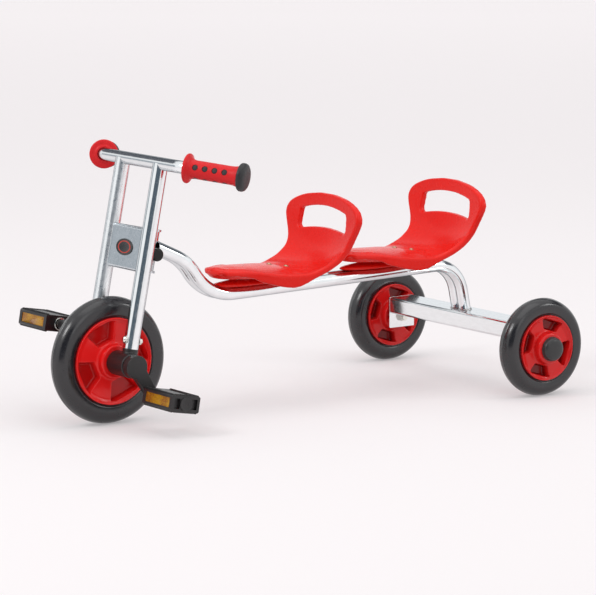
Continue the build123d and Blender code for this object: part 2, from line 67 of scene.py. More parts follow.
front_axle = middle("front_tyre")
rear_axles = {"left": middle("left_rear_tyre"), "right": middle("right_rear_tyre")}
steering = next(j for j in frame["joints"] if j["name"] == "steering")
across = Vector((1, 0, 0))
up_fork = Vector(steering["axis"]).normalized()
back_fork = up_fork.cross(across)
sides = {"left": 1, "right": -1}
fork_origin = front_axle + Vector((0, 4 * mm, 0))


def on_fork(x, y, z):
    """A point x to the rider's left, y behind and z up the fork's rake, in millimetres."""
    return fork_origin + (across * x + back_fork * y + up_fork * z) * mm


print("front axle:", [round(v, 4) for v in front_axle], "rake:", round(back_fork.z, 3))

# %% [markdown]
# Every new piece ends the same way: its place goes into its mesh, it is shaded smooth except
# across real corners, and it rides on a body. One helper does that, so a piece can't be left
# behind when the tricycle steers or rolls. Its normals already face out when it is built.

# %% Helpers that start and finish a piece
def deselect():
    if bpy.context.object and bpy.context.object.mode != "OBJECT":
        bpy.ops.object.mode_set(mode="OBJECT")
    bpy.ops.object.select_all(action="DESELECT")


def only(piece):
    deselect()
    piece.select_set(True)
    bpy.context.view_layer.objects.active = piece


def apply_modifiers(piece):
    only(piece)
    for name in [m.name for m in piece.modifiers]:
        bpy.ops.object.modifier_apply(modifier=name)


def in_edit(piece, *steps):
    """Runs each step in edit mode with the whole mesh selected."""
    only(piece)
    bpy.ops.object.mode_set(mode="EDIT")
    for step in steps:
        bpy.ops.mesh.select_all(action="SELECT")
        step()
    bpy.ops.object.mode_set(mode="OBJECT")


def merge_doubles():
    bpy.ops.mesh.remove_doubles(threshold=0.004 * mm)


def face_out():
    bpy.ops.mesh.normals_make_consistent(inside=False)


def finish_piece(piece, name, body, finish, stands_for=(), angle=35):
    """Names the piece, applies its place, smooths it and sets it to ride on its body."""
    apply_modifiers(piece)
    bpy.ops.object.transform_apply(location=True, rotation=True, scale=True)
    bpy.ops.object.shade_smooth_by_angle(angle=radians(angle))
    piece.name = piece.data.name = name
    if finish:
        piece.data.materials.clear()
        piece.data.materials.append(finish)
    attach(piece, body)
    if stands_for:
        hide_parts(*stands_for)
    print(name, "rides on", body, "with", len(piece.data.polygons), "faces")
    return piece


def cut(piece, tool):
    """Takes the tool's shape out of the piece and removes the tool."""
    boolean = piece.modifiers.new("Cut", "BOOLEAN")
    boolean.operation = "DIFFERENCE"
    boolean.solver = "EXACT"
    boolean.object = tool
    apply_modifiers(piece)
    bpy.data.objects.remove(tool)


def soften(piece, size, passes):
    """Gives a closed piece an even skin and relaxes it, so that every edge is rounded."""
    in_edit(piece, merge_doubles)
    skin = piece.modifiers.new("Skin", "REMESH")
    skin.mode = "VOXEL"
    skin.voxel_size = size * mm * 1.0
    smooth = piece.modifiers.new("Relax", "SMOOTH")
    smooth.factor = 0.5
    smooth.iterations = passes
    apply_modifiers(piece)


def joined(pieces):
    """Several meshes as one."""
    deselect()
    for piece in pieces:
        piece.select_set(True)
    bpy.context.view_layer.objects.active = pieces[0]
    bpy.ops.object.join()
    return bpy.context.object


def copy_of_node(node):
    """A free copy of a CAD node's mesh, to be shaped further."""
    piece = frame["nodes"][node].copy()
    piece.data = piece.data.copy()
    for key in [k for k in piece.keys() if k.startswith("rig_")]:
        del piece[key]
    piece.parent = None
    bpy.context.scene.collection.objects.link(piece)
    return piece


# %% [markdown]
# Wheels, grips, caps and bolts are all round, so a lathe makes them. A small plane is merged
# into one point, which is pulled from place to place along the outline, and the outline is
# then spun about the axle. The same outline could be typed into a curve object, but a spun
# mesh can be cut and have its edges rounded afterwards.

# %% A lathe
def draw_outline(points):
    """Pulls one point from place to place, welds what meets and stays in edit mode."""
    deselect()
    bpy.ops.mesh.primitive_plane_add(size=mm, location=points[0])
    piece = bpy.context.object
    bpy.ops.object.mode_set(mode="EDIT")
    bpy.ops.mesh.merge(type="CENTER")
    here = points[0]
    for there in points[1:]:
        bpy.ops.mesh.extrude_region_move(TRANSFORM_OT_translate={"value": there - here})
        here = there
    weld_close_points()
    return piece


def weld_close_points():
    bpy.ops.mesh.select_all(action="SELECT")
    bpy.ops.mesh.remove_doubles(threshold=0.002 * mm)
    bpy.ops.mesh.select_all(action="SELECT")


def turned(outline, origin, axis, steps=96, spoke=None):
    """An outline of (along, radius) points in millimetres, spun about an axis.

    An outline that starts and ends on the axis makes a solid, and any other one makes a ring.
    """
    axis = Vector(axis).normalized()
    spoke = (Vector(spoke) if spoke else axis.orthogonal()).normalized()
    points = [origin + axis * along * mm + spoke * radius * mm for along, radius in outline]
    solid = outline[0][1] == 0 and outline[-1][1] == 0
    piece = draw_outline(points if solid else points + points[:1])
    bpy.ops.mesh.spin(steps=steps, angle=tau, center=origin, axis=axis)
    weld_close_points()
    bpy.ops.mesh.dissolve_degenerate(threshold=0.001 * mm)
    bpy.ops.mesh.select_all(action="SELECT")
    face_out()
    bpy.ops.object.mode_set(mode="OBJECT")
    return piece


# %% [markdown]
# Pedals, brackets and pockets are blocks with drafted sides. A plane is added, its far edge is
# narrowed if need be, and its face is pulled up and scaled, as a moulder draws the draft.

# %% A drafted block
def block(origin, right, up, out, width, height, depth, taper=1.0, draft=1.0):
    """A block standing on its middle, sized in millimetres along right, up and out.

    taper widens its upper side against its lower one, and draft scales its far face.
    """
    right, up, out = (Vector(v).normalized() for v in (right, up, out))
    deselect()
    bpy.ops.mesh.primitive_plane_add(size=1, location=(0, 0, 0))
    piece = bpy.context.object
    bpy.ops.object.mode_set(mode="EDIT")
    bpy.ops.transform.resize(value=(width * mm, height * mm, 1))
    bpy.ops.object.mode_set(mode="OBJECT")
    for vert in piece.data.vertices:
        vert.select = vert.co.y > 0
    for edge in piece.data.edges:
        edge.select = all(piece.data.vertices[i].co.y > 0 for i in edge.vertices)
    for face in piece.data.polygons:
        face.select = False
    bpy.ops.object.mode_set(mode="EDIT")
    bpy.ops.transform.resize(value=(taper, 1, 1))
    bpy.ops.mesh.select_all(action="SELECT")
    bpy.ops.mesh.extrude_region_move(TRANSFORM_OT_translate={"value": (0, 0, depth * mm)})
    bpy.ops.transform.resize(value=(draft, draft, 1))
    bpy.ops.mesh.select_all(action="SELECT")
    face_out()
    bpy.ops.object.mode_set(mode="OBJECT")
    piece.matrix_world = Matrix((
        (right.x, up.x, out.x, origin[0]),
        (right.y, up.y, out.y, origin[1]),
        (right.z, up.z, out.z, origin[2]),
        (0, 0, 0, 1)))
    only(piece)
    bpy.ops.object.transform_apply(location=True, rotation=True, scale=True)
    in_edit(piece, face_out)
    return piece


# %% [markdown]
# A trimming tool or a rail is an outline pulled sideways. The outline is drawn as the lathe's
# is, closed with a face, and the face is pulled along.

# %% A pulled outline, and a row of copies
def prism(points, pull):
    """A closed outline of world points, pulled by a vector."""
    piece = draw_outline(points + points[:1])
    bpy.ops.mesh.edge_face_add()
    bpy.ops.mesh.extrude_region_move(TRANSFORM_OT_translate={"value": pull})
    bpy.ops.mesh.select_all(action="SELECT")
    face_out()
    bpy.ops.object.mode_set(mode="OBJECT")
    return piece


def row_of(piece, count, step):
    """Repeats a piece so many times, a vector apart."""
    row = piece.modifiers.new("Row", "ARRAY")
    row.use_relative_offset = False
    row.use_constant_offset = True
    row.constant_offset_displace = step
    row.count = count
    apply_modifiers(piece)
    return piece


def surface_under(piece, x, y):
    """The point and normal of a piece's upper face below (x, y) in millimetres."""
    bpy.context.view_layer.update()
    hit, point, normal, _ = piece.ray_cast(Vector((x * mm, y * mm, 1.0)), Vector((0, 0, -1)))
    if not hit:
        raise ValueError(f"nothing of {piece.name} lies below {x}, {y}")
    return point, normal


# %% [markdown]
# Finishes are built from nodes. Each starts as a Principled shader read in Object coordinates,
# so that the pattern stays with the piece as it moves. The helper makes the shader and its
# coordinates; the finishes after it add what that material really shows.

# %% Start a finish
def new_finish(name, color, roughness, metallic=0.0):
    finish = bpy.data.materials.new(name)
    finish.use_nodes = True
    shader = finish.node_tree.nodes["Principled BSDF"]
    shader.inputs["Base Color"].default_value = (*color, 1)
    shader.inputs["Roughness"].default_value = roughness
    shader.inputs["Metallic"].default_value = metallic
    finish.diffuse_color = (*color, 1)
    return finish, shader


def noise(finish, scale, detail=3.0, stretch=(1, 1, 1)):
    """Cloudy noise in Object coordinates, at so many waves a metre."""
    nodes, links = finish.node_tree.nodes, finish.node_tree.links
    place = nodes.new("ShaderNodeTexCoord")
    mapping = nodes.new("ShaderNodeMapping")
    mapping.inputs["Scale"].default_value = stretch
    cloud = nodes.new("ShaderNodeTexNoise")
    cloud.inputs["Scale"].default_value = scale
    cloud.inputs["Detail"].default_value = detail
    links.new(place.outputs["Object"], mapping.inputs["Vector"])
    links.new(mapping.outputs["Vector"], cloud.inputs["Vector"])
    return cloud.outputs["Fac"]


def ramp(finish, source, low, high):
    """Spreads a pattern's values from low to high."""
    nodes, links = finish.node_tree.nodes, finish.node_tree.links
    spread = nodes.new("ShaderNodeMapRange")
    spread.inputs["From Min"].default_value = 0.3
    spread.inputs["From Max"].default_value = 0.7
    spread.inputs["To Min"].default_value = low
    spread.inputs["To Max"].default_value = high
    links.new(source, spread.inputs["Value"])
    return spread.outputs["Result"]


def tint(finish, shader, source, light, dark):
    """Lets a pattern mix two close shades of the finish's colour."""
    nodes, links = finish.node_tree.nodes, finish.node_tree.links
    mix = nodes.new("ShaderNodeMix")
    mix.data_type = "RGBA"
    mix.inputs["A"].default_value = (*light, 1)
    mix.inputs["B"].default_value = (*dark, 1)
    links.new(ramp(finish, source, 0.0, 1.0), mix.inputs["Factor"])
    links.new(mix.outputs["Result"], shader.inputs["Base Color"])


def relief(finish, shader, source, depth):
    """Raises the surface by a pattern, depth in millimetres."""
    nodes, links = finish.node_tree.nodes, finish.node_tree.links
    bump = nodes.new("ShaderNodeBump")
    bump.inputs["Distance"].default_value = depth * mm
    bump.inputs["Strength"].default_value = 1.0
    links.new(source, bump.inputs["Height"])
    links.new(bump.outputs["Normal"], shader.inputs["Normal"])


# %% [markdown]
# The seats and wheels are moulded in glossy red plastic. A mould is polished but never
# perfect: the light in it wobbles slightly, which a faint wide bump gives, and handling
# leaves the gloss uneven. The colour drifts by a few percent where the melt flowed.

# %% Glossy red plastic
def glossy_plastic(name, light, dark, roughness, coat):
    finish, shader = new_finish(name, light, roughness)
    shader.inputs["Coat Weight"].default_value = coat
    shader.inputs["Coat Roughness"].default_value = 0.10
    shader.inputs["Specular IOR Level"].default_value = 0.22
    tint(finish, shader, noise(finish, 9, 2), light, dark)
    links = finish.node_tree.links
    smudges = ramp(finish, noise(finish, 45, 3), roughness - 0.02, roughness + 0.03)
    links.new(smudges, shader.inputs["Roughness"])
    relief(finish, shader, noise(finish, 70, 1), 0.005)
    return finish


def wheel_red(name, centre_x, face, face_red, pocket_shade_red):
    """Wheel plastic, with painted shade that darkens its colour towards the floors of the pockets.
    """
    finish = glossy_plastic(name, (face_red, 0.015, 0.015), (face_red * 0.93, 0.012, 0.012),
                            0.20, 0.20)
    nodes, links = finish.node_tree.nodes, finish.node_tree.links
    shader = nodes["Principled BSDF"]
    color = shader.inputs["Base Color"].links[0].from_socket
    place = nodes.new("ShaderNodeTexCoord")
    parts = nodes.new("ShaderNodeSeparateXYZ")
    links.new(place.outputs["Object"], parts.inputs["Vector"])
    offset = nodes.new("ShaderNodeMath")
    offset.operation = "SUBTRACT"
    offset.inputs[1].default_value = centre_x
    links.new(parts.outputs["X"], offset.inputs[0])
    away = nodes.new("ShaderNodeMath")
    away.operation = "ABSOLUTE"
    links.new(offset.outputs["Value"], away.inputs[0])
    # Painted shade: the red darkens to a deep red at each pocket's floor, where little light
    # reaches.
    depth = nodes.new("ShaderNodeMapRange")
    depth.interpolation_type = "SMOOTHSTEP"
    depth.inputs["From Min"].default_value = face - 15 * mm
    depth.inputs["From Max"].default_value = face - 2 * mm
    links.new(away.outputs["Value"], depth.inputs["Value"])
    mix = nodes.new("ShaderNodeMix")
    mix.data_type = "RGBA"
    mix.inputs["A"].default_value = (pocket_shade_red, 0.004, 0.004, 1)
    links.new(color, mix.inputs["B"])
    links.new(depth.outputs["Result"], mix.inputs["Factor"])
    links.new(mix.outputs["Result"], shader.inputs["Base Color"])
    return finish


seat_red = glossy_plastic("seat_red", (0.84, 0.012, 0.006), (0.79, 0.010, 0.005), 0.27, 0.06)
print("red plastics ready")

# %% [markdown]
# Tyres, grips and stops are solid rubber. Rubber scatters light at a shallow angle, so its
# gloss is broad; a fine grain breaks it up, and dust lightens it in patches.

# %% Rubber
def rubber(name, light, dark, roughness, grain=900, gloss=0.3):
    finish, shader = new_finish(name, light, roughness)
    shader.inputs["Specular IOR Level"].default_value = gloss
    tint(finish, shader, noise(finish, 38, 6), light, dark)
    links = finish.node_tree.links
    links.new(ramp(finish, noise(finish, 90, 4), roughness - 0.05, roughness + 0.08),
              shader.inputs["Roughness"])
    relief(finish, shader, noise(finish, grain, 3), 0.04)
    return finish


tyre_black = rubber("tyre_black", (0.013, 0.012, 0.015), (0.009, 0.008, 0.010), 0.21, gloss=0.7)
stop_black = rubber("stop_black", (0.010, 0.010, 0.011), (0.008, 0.008, 0.008), 0.38)
grip_red = rubber("grip_red", (0.72, 0.020, 0.024), (0.66, 0.016, 0.020), 0.36, 1400, 0.2)
knob_black = rubber("knob_black", (0.034, 0.034, 0.037), (0.028, 0.028, 0.030), 0.42)
print("rubbers ready")

# %% [markdown]
# The pedals, cranks, bearing housings and hub caps are matt black plastic with a spark-eroded
# grain, which is finer and sharper than rubber's.

# %% Black moulded plastic
def grained_plastic(name, light, dark, roughness):
    finish, shader = new_finish(name, light, roughness)
    tint(finish, shader, noise(finish, 50, 5), light, dark)
    links = finish.node_tree.links
    links.new(ramp(finish, noise(finish, 140, 4), roughness - 0.06, roughness + 0.08),
              shader.inputs["Roughness"])
    relief(finish, shader, noise(finish, 1800, 2), 0.04)
    return finish


moulded_black = grained_plastic("moulded_black", (0.018, 0.016, 0.017), (0.013, 0.012, 0.012), 0.36)
cap_black = grained_plastic("cap_black", (0.028, 0.028, 0.029), (0.022, 0.022, 0.023), 0.34)
dot_black = grained_plastic("dot_black", (0.026, 0.020, 0.022), (0.020, 0.016, 0.018), 0.55)
badge_black = grained_plastic("badge_black", (0.016, 0.015, 0.016), (0.012, 0.011, 0.012), 0.28)
badge_ring = grained_plastic("badge_ring", (0.55, 0.040, 0.020), (0.50, 0.034, 0.018), 0.32)
print("black plastics ready")

# %% [markdown]
# The tubes are bright plated steel and the rear beam is a duller satin plate. Plating follows
# the drawn tube under it, so its gloss carries faint lengthwise streaks. Where two tubes are
# welded the heat leaves the steel brown and rough.

# %% Plated steel
def plated(name, light, dark, roughness, spread, stretch=(1, 1, 1), depth=0.01, glance=0.30):
    """Plated metal; glance is how much of the light it keeps at a grazing angle."""
    finish, shader = new_finish(name, light, roughness, metallic=1.0)
    shader.inputs["Specular Tint"].default_value = (glance - 0.02, glance, glance + 0.02, 1)
    tint(finish, shader, noise(finish, 45, 4, stretch), light, dark)
    links = finish.node_tree.links
    links.new(ramp(finish, noise(finish, 160, 5, stretch), roughness - spread, roughness + spread),
              shader.inputs["Roughness"])
    relief(finish, shader, noise(finish, 300, 3, stretch), depth)
    return finish


bright_plate = plated("bright_plate", (0.90, 0.92, 0.93), (0.84, 0.86, 0.87), 0.12, 0.05)
far_plate = plated("far_plate", (0.90, 0.92, 0.93), (0.82, 0.84, 0.85), 0.30, 0.05)
crown_plate = plated("crown_plate", (0.75, 0.79, 0.82), (0.68, 0.72, 0.75), 0.25, 0.03, depth=0.004)
satin_plate = plated("satin_plate", (0.86, 0.875, 0.88), (0.81, 0.82, 0.825), 0.15, 0.04,
                     (1, 4, 4), glance=0.92)
bolt_steel = plated("bolt_steel", (0.86, 0.85, 0.80), (0.72, 0.71, 0.66), 0.22, 0.08)
weld_steel = plated("weld_steel", (0.72, 0.72, 0.72), (0.50, 0.49, 0.48), 0.34, 0.1, depth=0.1)
screw_brass = plated("screw_brass", (0.70, 0.52, 0.36), (0.50, 0.36, 0.24), 0.30, 0.08)
print("metals ready")

# %% [markdown]
# A reflector is clear amber plastic with rows of tiny prisms on its back. The prisms are far
# too small to model one by one, so a cell pattern tilts the surface and paints each prism
# lighter and darker amber, as painted glints and shade of the light its facets throw back.

# %% Amber reflector
def prism_amber():
    finish, shader = new_finish("prism_amber", (0.46, 0.17, 0.004), 0.20)
    nodes, links = finish.node_tree.nodes, finish.node_tree.links
    place = nodes.new("ShaderNodeTexCoord")
    cells = nodes.new("ShaderNodeTexVoronoi")
    cells.inputs["Scale"].default_value = 420
    links.new(place.outputs["Object"], cells.inputs["Vector"])
    painted_facet_glints = nodes.new("ShaderNodeMath")
    painted_facet_glints.operation = "MULTIPLY_ADD"
    painted_facet_glints.inputs[1].default_value = 0.5
    links.new(cells.outputs["Distance"], painted_facet_glints.inputs[0])
    links.new(ramp(finish, noise(finish, 34, 1), 0.05, 0.40), painted_facet_glints.inputs[2])
    # Painted glints and shade: each prism cell darkens towards its edges and in broad patches.
    tint(finish, shader, painted_facet_glints.outputs["Value"], (0.52, 0.26, 0.004), (0.24, 0.065, 0.003))
    relief(finish, shader, cells.outputs["Distance"], 0.3)
    shader.inputs["Specular IOR Level"].default_value = 0.3
    shader.inputs["Coat Weight"].default_value = 0.25
    shader.inputs["Coat Roughness"].default_value = 0.08
    return finish


amber = prism_amber()

# %% [markdown]
# Every CAD node gets its finish now, also where a new piece will stand for it. Those that
# keep their CAD shape have a tool's sharp corners, so plates and mouldings also get a live
# weld and bevel, which round the corners without touching the CAD mesh.

# %% Finish the carried-over CAD nodes
def dress(node, finish, edge=0.0):
    piece = frame["nodes"][node]
    piece.data.materials.clear()
    piece.data.materials.append(finish)
    if edge:
        weld = piece.modifiers.new("Weld", "WELD")
        weld.merge_threshold = 0.002 * mm
        bevel = piece.modifiers.new("Edges", "BEVEL")
        bevel.width = edge * mm
        bevel.segments = 3
        bevel.limit_method = "ANGLE"
        bevel.angle_limit = radians(40)
        bevel.harden_normals = True


for side in sides:
    dress(f"{side}_frame_tube", bright_plate)
    dress(f"{side}_fork_tube", far_plate if side == "right" else bright_plate)
    dress(f"{side}_wheel_bracket", satin_plate, 0.8)
    dress(f"{side}_stub_axle", bolt_steel, 0.5)
    dress(f"{side}_bearing_housing", moulded_black)
    dress(f"{side}_crank", moulded_black)
    dress(f"{side}_steering_stop", stop_black)
    dress(f"{side}_pedal", moulded_black, 0.8)
    dress(f"{side}_pedal_reflectors", amber, 0.5)
    dress(f"{side}_rear_tyre", tyre_black)
    dress(f"{side}_rear_rim", seat_red)
    dress(f"{side}_hub_cap", cap_black)
    dress(f"{side}_grip", grip_red)
    dress(f"{side}_grip_knob", knob_black)
dress("handlebar", bright_plate)
dress("crown_box", crown_plate)
dress("head_tube", bright_plate)
dress("pivot_bolt", bolt_steel, 0.6)
dress("badge", badge_black)
dress("front_axle", bolt_steel)
dress("rear_beam", satin_plate, 2.0)
dress("front_tyre", tyre_black)
dress("front_rim", seat_red)
dress("front_seat", seat_red)
dress("rear_seat", seat_red)
print("CAD nodes dressed")

# %% [markdown]
# Both seats are one design, and the rear one stands further up along the tubes. The slope from
# one to the other gives the directions in which a seat is measured. It is measured from a
# point ahead of its nose, level with the tubes' tops.

# %% Where a seat's own measures start
slope = atan2(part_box("rear_seat")[0].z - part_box("front_seat")[0].z,
              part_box("rear_seat")[0].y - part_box("front_seat")[0].y)
along_seat = Vector((0, cos(slope), sin(slope)))
up_seat = Vector((0, -sin(slope), cos(slope)))


ahead_of_nose = 17.5
nose_to_pan = 61
pan_height = 42


def seat_start(seat, node):
    """The point ahead of a seat's nose, level with the tubes' tops, that it is measured from."""
    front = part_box(node)[0].y - ahead_of_nose * mm
    pan, _ = surface_under(seat, 0, front / mm + nose_to_pan)
    rise = along_seat.z * nose_to_pan * mm * Vector((0, 0, 1))
    return Vector((0, front, pan.z)) - rise - up_seat * pan_height * mm


# %% [markdown]
# The seats are moulded shells. Their form comes from the CAD solid, whose edges are crisp, so a
# copy of it is shaped further, as a pattern maker would. Its skirt is trimmed at the front, a
# roll is laid round the nose, and the boxy foot of the nose gives way to a boat-shaped one.
# An even skin of small squares by a voxel remesh then joins them all, and relaxing it rounds
# every edge by a few millimetres.

# %% The two seats
def nose_roll(start):
    """Half a ring round the nose, its ends drawn out back into the skirt."""
    middle_of_roll = start + along_seat * 70.5 * mm + up_seat * 28.8 * mm
    deselect()
    bpy.ops.mesh.primitive_torus_add(location=middle_of_roll, rotation=(radians(-1.5), 0, 0),
                                     major_radius=36.0 * mm, minor_radius=11.0 * mm,
                                     major_segments=64, minor_segments=24)
    roll = bpy.context.object
    bpy.ops.object.mode_set(mode="EDIT")
    bpy.ops.mesh.select_all(action="SELECT")
    bpy.ops.transform.resize(value=(0.97, 1.13, 1), center_override=middle_of_roll)
    bpy.ops.mesh.bisect(plane_co=middle_of_roll, plane_no=(0, 1, 0), use_fill=True,
                        clear_outer=True)
    bpy.ops.mesh.extrude_region_move(TRANSFORM_OT_translate={"value": (0, 40 * mm, -6 * mm)})
    bpy.ops.transform.resize(value=(1.14, 1, 0.7))
    bpy.ops.object.mode_set(mode="OBJECT")
    in_edit(roll, face_out)
    return roll


def nose_foot(start):
    """The boat-shaped foot under the nose, cut flat where it rests on the tubes."""
    place = start + along_seat * 122 * mm + up_seat * 3 * mm
    deselect()
    bpy.ops.mesh.primitive_uv_sphere_add(segments=48, ring_count=24, radius=mm, location=place)
    foot = bpy.context.object
    bpy.ops.object.mode_set(mode="EDIT")
    bpy.ops.mesh.select_all(action="SELECT")
    bpy.ops.transform.resize(value=(28, 104, 9.5), center_override=place)
    bpy.ops.mesh.bisect(plane_co=start + up_seat * 0.3 * mm, plane_no=-up_seat, use_fill=True,
                        clear_outer=True)
    bpy.ops.object.mode_set(mode="OBJECT")
    in_edit(foot, face_out)
    return foot


skirt_trim = [(5, -40), (5, 26), (50, 26.5), (70, 23.5), (85, 19), (98, 11), (108, 2), (116, -8),
              (116, -40)]
foot_trim = [(20, -10), (20, 24), (78, 24), (100, 28), (150, 26.5), (150, -10)]
mouldings = {}
for end in ("front", "rear"):
    seat = copy_of_node(f"{end}_seat")
    in_edit(seat, merge_doubles)
    start = seat_start(seat, f"{end}_seat")
    for way in (1, -1):
        points = [start + across * way * 30 * mm + along_seat * y * mm + up_seat * z * mm
                  for y, z in skirt_trim]
        cut(seat, prism(points, across * way * 100 * mm))
    points = [start - across * 29 * mm + along_seat * y * mm + up_seat * z * mm
              for y, z in foot_trim]
    cut(seat, prism(points, across * 58 * mm))
    seat = joined([seat, nose_roll(start), nose_foot(start)])
    soften(seat, 1.7, 11)
    mouldings[end] = finish_piece(seat, f"{end}_seat_moulding", "frame", seat_red,
                                  [f"{end}_seat"], angle=180)

# %% [markdown]
# The tyres are solid rubber rings pressed on their rims. The mould closes along the middle of
# the tread and leaves a fine seam, and a shallow groove runs round each side wall where the
# rubber thins down to the rim. A turned ring shows both from every side.

# %% The three tyres
def tyre(name, node, body, centre, outer, rim, width):
    """A ring on X with a seam on its tread and a groove by its rim, radii in millimetres."""
    half = width / 2
    waist = (outer + rim) / 2
    seam = 0.35
    steps = 22
    crown = []
    for k in range(1, steps):
        turn = pi * k / steps
        crown.append((half * cos(turn), waist + (outer - seam - waist) * sin(turn)))
    before = [p for p in crown if p[0] > 1.2]
    after = [p for p in crown if p[0] < -1.2]
    ridge = [(0.8, outer - seam), (0.4, outer), (-0.4, outer), (-0.8, outer - seam)]
    wall = [
        (half, waist), (half * 0.995, waist - 5), (half * 0.965, rim + 7), (half * 0.925, rim + 4.2),
        (half * 0.895, rim + 3.2), (half * 0.872, rim + 2.9), (half * 0.862, rim + 2.3),
        (half * 0.855, rim + 1.2), (half * 0.84, rim + 0.2),
    ]
    outline = wall[::-1] + before + ridge + after + [(-x, r) for x, r in wall]
    ring = turned(outline, centre, across, 160)
    finish_piece(ring, name, body, tyre_black, [node], angle=50)


tyre("front_tyre_rubber", "front_tyre", "front_wheel", front_axle, 125, 86, 46)
for side in sides:
    tyre(f"{side}_rear_tyre_rubber", f"{side}_rear_tyre", f"{side}_rear_wheel", rear_axles[side],
         100, 67, 44)

# %% [markdown]
# A wheel centre is one thick moulding: a thin lip that holds the tyre, a sloping shoulder, a
# web with four deep pockets in each face, and a hub. The pockets' walls lean outwards so that
# the mould can open. The body is turned, the pockets are cut with drafted wedges, and an
# even skin then rounds every edge as the mould did.

# %% The three wheel centres
def wheel_centre(name, node, body, centre, edge, width, hub, hub_width, bore, pocket_turn, depth):
    """A moulded wheel centre on X; pocket_turn is the first pocket's angle from +Y up."""
    web = width / 2 - 6.5
    shoulder = edge - 11
    half = [
        (hub_width / 2, bore), (hub_width / 2, hub - 3), (hub_width / 2 - 1, hub - 1),
        (hub_width / 2 - 3, hub), (web + 2.5, hub + 0.4), (web, hub + 2.4), (web, shoulder),
        (width / 2 - 2.2, edge - 3.4), (width / 2 - 0.4, edge - 3.0), (width / 2, edge - 2.4),
        (width / 2, edge - 0.3),
    ]
    outline = half + [(-x, r) for x, r in reversed(half)]
    body_piece = turned(outline, centre, across, 120)
    inner, outer = hub + 3.5, shoulder + 1.5
    pocket_share = 0.49
    tools = []
    for side in (1, -1):
        for k in range(4):
            turn = radians(pocket_turn + 90 * k)
            out = Vector((0, cos(turn), sin(turn)))
            place = centre + across * side * (web + 1.5) * mm + out * (inner + outer) / 2 * mm
            narrow, wide = 2 * inner * pocket_share, 2 * outer * pocket_share
            along = -across * side
            tool = block(place, out.cross(along), out, along, narrow, outer - inner, depth + 1.5,
                         wide / narrow, 0.80)
            tools.append(tool)
    cut(body_piece, joined(tools))
    soften(body_piece, 1.15, 9)
    # Painted light: the rear wheels get a darker, shaded copy of the front wheel's red, and the
    # second value is the painted shade at the pocket floors.
    face_and_shade_reds = (0.92, 0.50) if body == "front_wheel" else (0.74, 0.24)
    red = wheel_red(name + "_red", centre.x, web * mm, *face_and_shade_reds)
    finish_piece(body_piece, name, body, red, [node], angle=180)


wheel_centre("front_wheel_centre", "front_rim", "front_wheel", front_axle, 86, 50, 33.5, 64, 7.1,
             22, 14.5)
for side in sides:
    wheel_centre(f"{side}_rear_wheel_centre", f"{side}_rear_rim", f"{side}_rear_wheel",
                 rear_axles[side], 67, 48, 32, 70, 6.8, 73, 16)

# %% [markdown]
# A black cap snaps over each rear axle's end. Its face is slightly domed and its edge is well
# rounded, so a highlight sits high on it. Inside there is room for the axle's end.

# %% Rear hub caps
for side, way in sides.items():
    face = rear_axles[side] + across * way * 35 * mm
    outline = [
        (9.0, 0), (9.0, 9.5), (0.1, 9.5), (0.1, 25.0), (2.0, 25.0), (2.6, 24.2), (6.0, 24.0),
        (9.4, 23.0), (11.8, 20.8), (13.3, 17.5), (14.2, 13.0), (14.7, 8.0), (14.9, 3.5), (15.0, 0),
    ]
    cap = turned(outline, face, across * way, 96)
    finish_piece(cap, f"{side}_hub_cap_moulding", f"{side}_rear_wheel", cap_black,
                 [f"{side}_hub_cap"], angle=40)

# %% [markdown]
# The grips are soft red rubber sleeves pushed over the handlebar's swept ends. Each has a
# round flange for the hand to rest against, a waist, a flared end, and rows of black dots
# let into its surface. The sleeve is turned, the dots' seats are cut, and one dot is copied
# into every seat.

# %% Handlebar grips
sweep = radians(35)
bend_x, bar_level = 140, 392
bar_end_of = {
    side: (across * way * cos(sweep) + back_fork * sin(sweep)).normalized()
    for side, way in sides.items()
}
sleeve = [
    (-1.4, 12.7), (-1.8, 14.6), (-1.2, 16.6), (0.5, 18.6), (0.7, 21.5), (0.2, 25.5),
    (0.9, 27.8), (2.4, 28.8), (4.4, 28.9), (6.2, 27.8), (7.4, 25.4), (8.8, 22.4),
    (11.5, 20.2), (15.0, 18.7), (20.0, 18.0), (60.0, 18.0), (92.0, 18.0), (98.0, 18.4),
    (103.0, 19.4), (107.0, 20.8), (109.0, 21.4), (109.9, 21.2), (109.9, 12.7),
]
first_dot, dot_pitch = 23.5, 20.0
for side, way in sides.items():
    along = bar_end_of[side]
    start = on_fork(way * bend_x, 0, bar_level) + along * 10 * mm
    grip = turned(sleeve, start, along, 96, up_fork)
    seats, dots = [], []
    for row in range(4):
        spoke = Quaternion(along, radians(90 * row - 12 * way)) @ up_fork
        for k in range(4):
            place = start + along * (first_dot + dot_pitch * k) * mm
            seat_outline = [(14.6, 0), (14.6, 5.9), (20.0, 5.9), (20.0, 0)]
            seats.append(turned(seat_outline, place, spoke, 24, along))
            dot_outline = [
                (14.2, 0), (14.2, 5.7), (16.5, 5.7), (17.0, 5.2), (17.3, 3.5), (17.45, 0),
            ]
            dots.append(turned(dot_outline, place, spoke, 20, along))
    cut(grip, joined(seats))
    finish_piece(grip, f"{side}_grip_sleeve", "fork", grip_red, [f"{side}_grip"],
                 angle=42)
    finish_piece(joined(dots), f"{side}_grip_dots", "fork", dot_black, angle=42)

# %% [markdown]
# A thick black rubber knob caps each grip, so that the bar's end can't hurt. It is domed, with
# no flat face to catch a hand, and its inner side lies against the sleeve.

